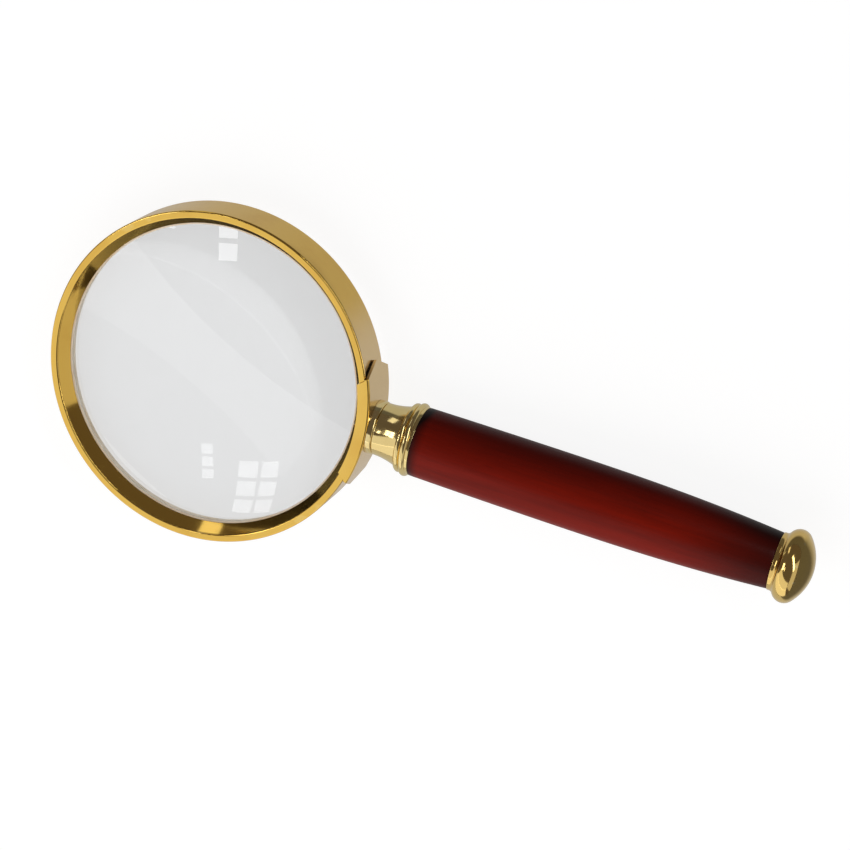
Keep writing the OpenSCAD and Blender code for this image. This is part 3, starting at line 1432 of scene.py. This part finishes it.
@dataclass
class Neck:
    """The neck stud with its thread, and the collar on it.

    Attributes:
        head: Radius of the stud's flat head.
        head_start: Where the head starts along the handle's axis.
        head_end: Where it ends.
        shank: Radius of the thread's crests.
        root: Radius of the thread's roots.
        pitch: Advance of the thread for one turn.
        thread_start: Where the thread starts.
        tip: Where the stud ends.
        collar: Radius of the collar.
        collar_bore: Radius of its bore.
        collar_seat: Radius of the curved face that sits on the saddle.
        collar_end: Where the collar ends.
        collar_round: Rounding of its far edge.
        blank: Where its blank starts, before the seat is cut.
        seat_reach: How far the seat's tool reaches to each side.
        ease: Rounding of the stud's head.
        crest: Half of the thread's flat crest, as a share of the pitch.
        ridge: Half of its ridge at the foot, as a share of the pitch.
        sink: How far the ridge's foot is sunk in the root.
        thread_steps: How many straight pieces a turn of the thread has.
    """

    head: float = 3.25
    head_start: float = 40.65
    head_end: float = 41.45
    shank: float = 2.0
    root: float = 1.6
    pitch: float = 0.7
    thread_start: float = 44.4
    tip: float = 53.73
    collar: float = 6.9
    collar_bore: float = 2.08
    collar_seat: float = 44.23
    collar_end: float = 45.68
    collar_round: float = 0.5
    blank: float = 43.2
    seat_reach: float = 12.0
    ease: float = 0.12
    crest: float = 0.06
    ridge: float = 0.43
    sink: float = 0.05
    thread_steps: int = 40

    def thread(self) -> bpy.types.Object:
        """Builds the ridge of the thread, swept round the stud.

        Returns:
            The ridge.
        """
        start = self.thread_start
        middle = start + self.pitch * self.ridge
        flat = self.pitch * self.crest
        foot = self.root - self.sink
        section = [
            (foot, start),
            (foot, start + self.pitch * 2 * self.ridge),
            (self.shank, middle + flat),
            (self.shank, middle - flat),
        ]
        places = [Bench.point(Axis.HANDLE, corner, 0.0) for corner in section]
        piece = Bench.start("stud_thread", places[0])
        Bench.draw(places, True)
        bpy.ops.object.mode_set(mode="OBJECT")
        sweep = piece.modifiers.new("sweep", "SCREW")
        sweep.axis = "X"
        sweep.angle = math.tau
        sweep.screw_offset = self.pitch * MM
        sweep.iterations = int((self.tip - 1.2 * self.pitch - start) / self.pitch)
        sweep.steps = sweep.render_steps = self.thread_steps
        sweep.use_merge_vertices = False
        Bench.apply(piece, sweep)
        bpy.ops.object.mode_set(mode="EDIT")
        Bench.tidy()
        return piece

    def stud(self) -> bpy.types.Object:
        """Builds the stud: head, plain shank and thread.

        Returns:
            The piece.
        """
        core = Outline([(0.0, self.head_start)])
        core.rounded(self.head, self.head_start, (self.head, self.head_end), self.ease, 4)
        core.rounded(self.head, self.head_end, (self.shank, self.head_end), self.ease, 4)
        core.to(self.shank, self.head_end).to(self.shank, self.thread_start - 0.1)
        core.to(self.root, self.thread_start + 0.2).to(self.root, self.tip - 0.25)
        core.to(self.root - 0.25, self.tip).to(0.0, self.tip)
        piece = Bench.turned("stud_screw", core, Axis.HANDLE, False)
        Bench.pick(self.thread(), piece)
        bpy.ops.object.join()
        Bench.polish(piece)
        return fit_out(piece, Body.HEAD, STEEL, "neck_stud")

    def ring(self) -> bpy.types.Object:
        """Builds the collar between the saddle and the ferrule.

        Returns:
            The piece.
        """
        end, bore = self.collar_end, self.collar_bore
        outline = Outline([(bore, self.blank), (self.collar, self.blank)])
        outline.rounded(self.collar, end, (bore, end), self.collar_round, 8).to(bore, end)
        piece = Bench.turned("collar_ring", outline, Axis.HANDLE, True)
        reach = self.seat_reach
        Bench.cut(piece, Bench.rod("seat_tool", self.collar_seat, -reach, reach, Axis.GLASS))
        Bench.polish(piece)
        return fit_out(piece, Body.COLLAR, FITTINGS, "neck_collar")


@dataclass
class Handle:
    """The ferrule, the wood and the end cap.

    Attributes:
        ferrule: Where the ferrule starts along the handle's axis.
        flare: Length of its concave part.
        front: Radius at its front.
        swell: Radius where the first bead starts.
        bead: Radius of both beads in section.
        bead_one: Outer radius of the first bead.
        bead_two: Outer radius of the second bead.
        stud_bore: Radius of the bore for the stud.
        stud_bore_end: Where that bore ends.
        rod_bore: Radius of the bores for the tie rod.
        tenon: Radius of the tenon.
        tenon_end: Where the tenon ends.
        wood: Where the wood starts.
        wood_front: Its radius there.
        wood_full: Its largest radius.
        wood_full_at: Distance of that from the front.
        wood_back: Its radius at the end cap.
        taper: How the radius falls towards the cap.
        cap: Where the cap starts.
        cap_end: Where it ends.
        cap_neck: Radius of the cap's neck.
        cap_bead: Radius of the cap's bead in section.
        cap_full: Largest radius of the cap.
        cap_bead_at: Distance of that from the wood.
        hollow: Radius of the hollow between neck and bead.
        spigot: Radius of the spigot inside the wood.
        spigot_length: Its length.
        chamfer: Chamfer of the stud's bore and of the spigot.
        tenon_chamfer: Chamfer of the tenon's end.
        rod_depth: How deep the tie rod's bore is in the tenon.
        glue: Gap for glue round the tenon and the spigot.
        spare: Space left past the end of what is glued in.
        rod_play: How much wider than the rod's bores the wood's long hole is.
        wood_round: Rounding of the wood's ends.
        wood_rings: How many rings the wood is drawn with.
    """

    ferrule: float = 45.73
    flare: float = 6.5
    front: float = 6.7
    swell: float = 7.9
    bead: float = 0.8
    bead_one: float = 8.9
    bead_two: float = 9.4
    stud_bore: float = 2.08
    stud_bore_end: float = 54.33
    rod_bore: float = 2.05
    tenon: float = 5.0
    tenon_end: float = 66.13
    wood: float = 56.13
    wood_front: float = 8.75
    wood_full: float = 8.95
    wood_full_at: float = 36.0
    wood_back: float = 7.0
    taper: float = 2.5
    cap: float = 148.13
    cap_end: float = 157.43
    cap_neck: float = 7.2
    cap_bead: float = 3.0
    cap_full: float = 9.15
    cap_bead_at: float = 4.0
    hollow: float = 1.0
    spigot: float = 4.0
    spigot_length: float = 5.0
    chamfer: float = 0.3
    tenon_chamfer: float = 0.4
    rod_depth: float = 7.6
    glue: float = 0.05
    spare: float = 0.6
    rod_play: float = 0.25
    wood_round: float = 0.3
    wood_rings: int = 64

    def turned_ferrule(self) -> bpy.types.Object:
        """Builds the ferrule with its two beads and its tenon.

        Returns:
            The piece.
        """
        rise = self.swell - self.front
        arc = (self.flare**2 + rise**2) / (2 * rise)
        bead_x = self.ferrule + self.flare + self.bead
        second_x = bead_x + 2 * self.bead
        sink = self.bead_two - self.bead - self.wood_front
        leave = math.degrees(math.asin(-sink / self.bead))
        outline = Outline([(0.0, self.stud_bore_end), (self.stud_bore, self.stud_bore_end)])
        outline.to(self.stud_bore, self.ferrule + self.chamfer)
        outline.to(self.stud_bore + self.chamfer, self.ferrule)
        outline.rounded(self.front, self.ferrule, (self.front, self.ferrule + 1.0), 0.2, 6)
        turn = math.degrees(math.asin(self.flare / arc))
        start = math.degrees(math.asin(0.25 / arc))
        outline.arc((self.front + arc, self.ferrule), arc, 180.0 - start, 180.0 - turn, 24)
        outline.arc((self.bead_one - self.bead, bead_x), self.bead, -90.0, 90.0, 20)
        outline.arc((self.bead_two - self.bead, second_x), self.bead, -90.0, 90.0 - leave, 20)
        outline.rounded(self.wood_front, self.wood, (self.tenon, self.wood), 0.1, 4)
        outline.to(self.tenon, self.wood).to(self.tenon, self.tenon_end - self.tenon_chamfer)
        outline.to(self.tenon - self.tenon_chamfer, self.tenon_end)
        outline.to(self.rod_bore, self.tenon_end)
        rod_end = self.tenon_end - self.rod_depth
        outline.to(self.rod_bore, rod_end).to(0.0, rod_end)
        piece = Bench.turned("ferrule_turning", outline, Axis.HANDLE, False)
        Bench.polish(piece)
        return fit_out(piece, Body.HANDLE, FITTINGS, "ferrule")

    def wood_radius(self, at: float) -> float:
        """Radius of the wood.

        Args:
            at: Distance from its front.

        Returns:
            The radius there.
        """
        if at < self.wood_full_at:
            fall = (self.wood_full - self.wood_front) * (1 - at / self.wood_full_at) ** 2
        else:
            share = (at - self.wood_full_at) / (self.cap - self.wood - self.wood_full_at)
            fall = (self.wood_full - self.wood_back) * share**self.taper
        return self.wood_full - fall

    def turned_wood(self) -> bpy.types.Object:
        """Builds the wood, with its long hole and two counterbores.

        Returns:
            The piece.
        """
        length = self.cap - self.wood
        bore = self.rod_bore + self.rod_play
        mouth, floor = self.tenon + self.glue, self.tenon_end + self.spare
        outline = Outline([(bore, floor), (mouth, floor), (mouth, self.wood)])
        ahead = (self.wood_front, self.cap)
        outline.rounded(self.wood_front, self.wood, ahead, self.wood_round)
        for i in range(1, self.wood_rings):
            at = length * i / self.wood_rings
            outline.to(self.wood_radius(at), self.wood + at)
        outline.rounded(self.wood_back, self.cap, (self.spigot, self.cap), self.wood_round)
        mouth, floor = self.spigot + self.glue, self.cap - self.spigot_length - self.spare
        outline.to(mouth, self.cap).to(mouth, floor).to(bore, floor)
        piece = Bench.turned("handle_wood", outline, Axis.HANDLE, True)
        Bench.polish(piece)
        finish = RedLacquer(
            name="red_lacquer",
            slot=Slot.LACQUER,
            clear_red=(0.22, 0.008, 0.002),
            deep_red=(0.09, 0.004, 0.0015),
            # Darker ends, and painted shade along the +Y side.
            dark=(0.01, 0.003, 0.0025),
            front=self.wood,
            back=self.cap,
        )
        return fit_out(piece, Body.HANDLE, finish, "wooden_handle")

    def turned_cap(self) -> bpy.types.Object:
        """Builds the end cap: spigot, neck, hollow, bead and dome.

        Returns:
            The piece.
        """
        ring = self.cap_full - self.cap_bead
        bead_x = self.cap + self.cap_bead_at
        dome_length = self.cap_end - bead_x
        dome = (ring**2 + dome_length**2 - self.cap_bead**2) / (2 * (dome_length - self.cap_bead))
        dome_x = self.cap_end - dome
        hollow_r = self.cap_neck + self.hollow
        hollow_x = bead_x - math.sqrt((self.cap_bead + self.hollow) ** 2 - (hollow_r - ring) ** 2)
        meet = math.degrees(math.atan2(hollow_x - bead_x, hollow_r - ring))
        leave = math.degrees(math.atan2(bead_x - dome_x, ring))
        start, floor = self.cap - self.spigot_length, bead_x + self.spare
        outline = Outline([(0.0, floor), (self.rod_bore, floor), (self.rod_bore, start)])
        outline.to(self.spigot - self.chamfer, start)
        outline.to(self.spigot, start + self.chamfer).to(self.spigot, self.cap)
        outline.rounded(self.cap_neck, self.cap, (self.cap_neck, hollow_x), 0.12, 4)
        outline.arc((hollow_r, hollow_x), self.hollow, 180.0, 180.0 + meet, 12)
        outline.arc((ring, bead_x), self.cap_bead, meet, leave, 32)
        outline.arc((0.0, dome_x), dome, leave, 90.0, 24)
        piece = Bench.turned("cap_turning", outline, Axis.HANDLE, False)
        Bench.polish(piece)
        return fit_out(piece, Body.HANDLE, CAP_GILT, "end_cap")


# ---------------------------------------------------------------------- studio


def direction(azimuth: float, elevation: float) -> Vector:
    """The unit vector of a direction.

    Args:
        azimuth: Its angle in degrees from +X towards +Y.
        elevation: Its angle in degrees above the floor.

    Returns:
        The vector.
    """
    turn, lift = math.radians(azimuth), math.radians(elevation)
    level = math.cos(lift)
    return Vector((math.cos(turn) * level, math.sin(turn) * level, math.sin(lift)))


def aimed(way: Vector, roll: float) -> Matrix:
    """The turn of a lamp or camera that faces the object.

    Args:
        way: The direction that it stands in.
        roll: Its roll in degrees.

    Returns:
        The turn.
    """
    facing = (-way).to_track_quat("-Z", "Y").to_matrix()
    return facing @ Matrix.Rotation(math.radians(roll), 3, "Z")


@dataclass
class Lamp:
    """One soft rectangular lamp or a window of several panes, aimed at the object.

    Attributes:
        name: Its name.
        azimuth: Direction of the lamp in degrees from +X towards +Y.
        elevation: Its height above the floor in degrees.
        distance: Its distance from the object in metres.
        width: Width of its face in metres.
        height: Height of its face in metres.
        brightness: Brightness of its face, where white paper is 1.
        roll: How far it is turned about its own middle, in degrees.
        panes: How many panes it has across and up.
        bar: Width of the bars between them, in metres.
        mirrored: Whether polished surfaces show it.
    """

    name: str
    azimuth: float
    elevation: float
    distance: float
    width: float
    height: float
    brightness: float
    roll: float = 0.0
    panes: tuple[int, int] = (1, 1)
    bar: float = 0.02
    mirrored: bool = True

    def hang(self, target: Vector) -> None:
        """Adds the lamp.

        Args:
            target: What it's aimed at.
        """
        way = direction(self.azimuth, self.elevation)
        facing = aimed(way, self.roll)
        across, up = self.panes
        step = Vector(((self.width + self.bar) / across, (self.height + self.bar) / up))
        for i in range(across * up):
            column, row = i % across - (across - 1) / 2, i // across - (up - 1) / 2
            offset = Vector((column * step.x, row * step.y, 0.0))
            light = bpy.data.lights.new(f"{self.name}_{i}", "AREA")
            light.shape = "RECTANGLE"
            light.size, light.size_y = step.x - self.bar, step.y - self.bar
            light.energy = self.brightness * math.pi * light.size * light.size_y
            lamp = bpy.data.objects.new(light.name, light)
            lamp.location = target + way * self.distance + facing @ offset
            lamp.rotation_euler = facing.to_euler()
            lamp.visible_camera = False
            lamp.visible_glossy = lamp.visible_transmission = self.mirrored
            bpy.context.scene.collection.objects.link(lamp)


@dataclass
class Studio:
    """The floor, the lamps, the room and the camera.

    Attributes:
        floor_half: Half of the floor's side in metres.
        rest_far: Where the rim's far lip touches the floor, as X and Z.
        rest_near: Where the ferrule's second bead touches it.
        floor_gap: Space left under both, in millimetres.
        room: Brightness of the dim room above the lamps.
        azimuth: The camera's direction in degrees from +X towards +Y.
        elevation: Its height in degrees.
        roll: Its roll in degrees.
        distance: Its distance from what it is aimed at, in metres.
        lens: Its focal length in millimetres.
        sensor: Width of its sensor in millimetres.
        clip: The nearest and farthest that it sees, in metres.
        aim: What it and the lamps are aimed at.
    """

    floor_half: float = 1.2
    rest_far: Section = (-42.9, -6.0)
    rest_near: Section = (54.63, -9.4)
    floor_gap: float = 0.02
    room: Colour = (0.12, 0.1, 0.09)
    azimuth: float = 56.81
    elevation: float = 63.86
    roll: float = -131.16
    distance: float = 0.639
    lens: float = 110.1
    sensor: float = 36.0
    clip: Span = (0.01, 10.0)
    aim: Vector = field(default_factory=lambda: Vector((56.4, 4.6, 0.0)) * MM)

    def floor(self) -> None:
        """Lays the floor under the object as it rests on its rim and ferrule."""
        Bench.pick()
        bpy.ops.mesh.primitive_plane_add(size=2 * self.floor_half)
        floor = bpy.context.object
        floor.name = "floor"
        (far_x, far_z), (near_x, near_z) = self.rest_far, self.rest_near
        slope = (near_z - far_z) / (near_x - far_x)
        floor.rotation_euler = (0.0, -math.atan(slope), 0.0)
        floor.location.z = (far_z - slope * far_x - self.floor_gap) * MM
        # 0.45 is the painted glow that polished surfaces see near the object.
        PalePaper("pale_paper", Slot.STRIP, (0.18, 0.18, 0.18), 0.88, 0.83, 0.45).dress(floor)

    def lamps(self) -> None:
        """Hangs two broad boxes, two windows, two strips, a side panel and a fill."""
        rig = [
            Lamp("low_softbox", -112.0, 19.0, 1.0, 2.2, 0.62, 0.92),
            Lamp("high_softbox", -112.0, 52.0, 1.0, 2.2, 0.62, 0.76),
            Lamp("side_window", 168.0, 47.0, 1.3, 0.4, 0.34, 4.5, 23.0, (3, 2), 0.03),
            Lamp("roof_window", 168.0, 66.0, 1.3, 0.24, 0.08, 4.5, 27.0, (3, 1), 0.02),
            Lamp("level_strip", 39.5, 41.4, 1.1, 1.2, 0.16, 4.5, 4.8),
            Lamp("upright_strip", 128.0, 12.0, 1.1, 0.2, 0.4, 1.0),
            Lamp("side_panel", -14.0, 20.0, 1.2, 1.5, 0.8, 0.5),
            Lamp("fill_softbox", -100.0, 55.0, 1.2, 1.2, 1.0, 1.0, mirrored=False),
        ]
        for lamp in rig:
            lamp.hang(self.aim)

    def walls(self) -> None:
        """Makes the room dim for the object and white behind it."""
        world = bpy.data.worlds.new("room")
        bpy.context.scene.world = world
        graph = Graph(world)
        seen = (graph.ray("Is Camera Ray") + graph.ray("Is Transmission Ray")).at_most(1.0)
        colour = graph.blend(seen, self.room, (1.0, 1.0, 1.0))
        shader = graph.node("ShaderNodeBackground", None, {"Color": colour, "Strength": 1.0})
        graph.surface(shader, "World")

    def camera(self) -> None:
        """Sets up the camera."""
        way = direction(self.azimuth, self.elevation)
        data = bpy.data.cameras.new("camera")
        data.lens = self.lens
        data.sensor_width = self.sensor
        data.clip_start, data.clip_end = self.clip
        camera = bpy.data.objects.new("camera", data)
        camera.location = self.aim + way * self.distance
        camera.rotation_euler = aimed(way, self.roll).to_euler()
        bpy.context.scene.collection.objects.link(camera)
        bpy.context.scene.camera = camera


def main() -> None:
    """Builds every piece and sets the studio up."""
    logging.basicConfig(level=logging.INFO, format="%(name)s: %(message)s")
    lens, rim, neck, handle = Lens(), Rim(), Neck(), Handle()
    builders = (
        lens.glass,
        lens.strip,
        rim.channel,
        rim.saddle,
        neck.stud,
        neck.ring,
        handle.turned_ferrule,
        handle.turned_wood,
        handle.turned_cap,
    )
    for build in builders:
        piece = build()
        finish = piece.active_material.name
        LOG.info("%s: %d faces in %s", piece.name, len(piece.data.polygons), finish)
    for node in ("backing_plate", "tie_rod"):
        STEEL.dress(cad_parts[node])
        LOG.info("%s: kept from the frame in %s", node, STEEL.name)
    studio = Studio()
    studio.floor()
    studio.lamps()
    studio.walls()
    studio.camera()
    bpy.context.scene.view_settings.view_transform = "Standard"


if __name__ == "__main__":
    main()
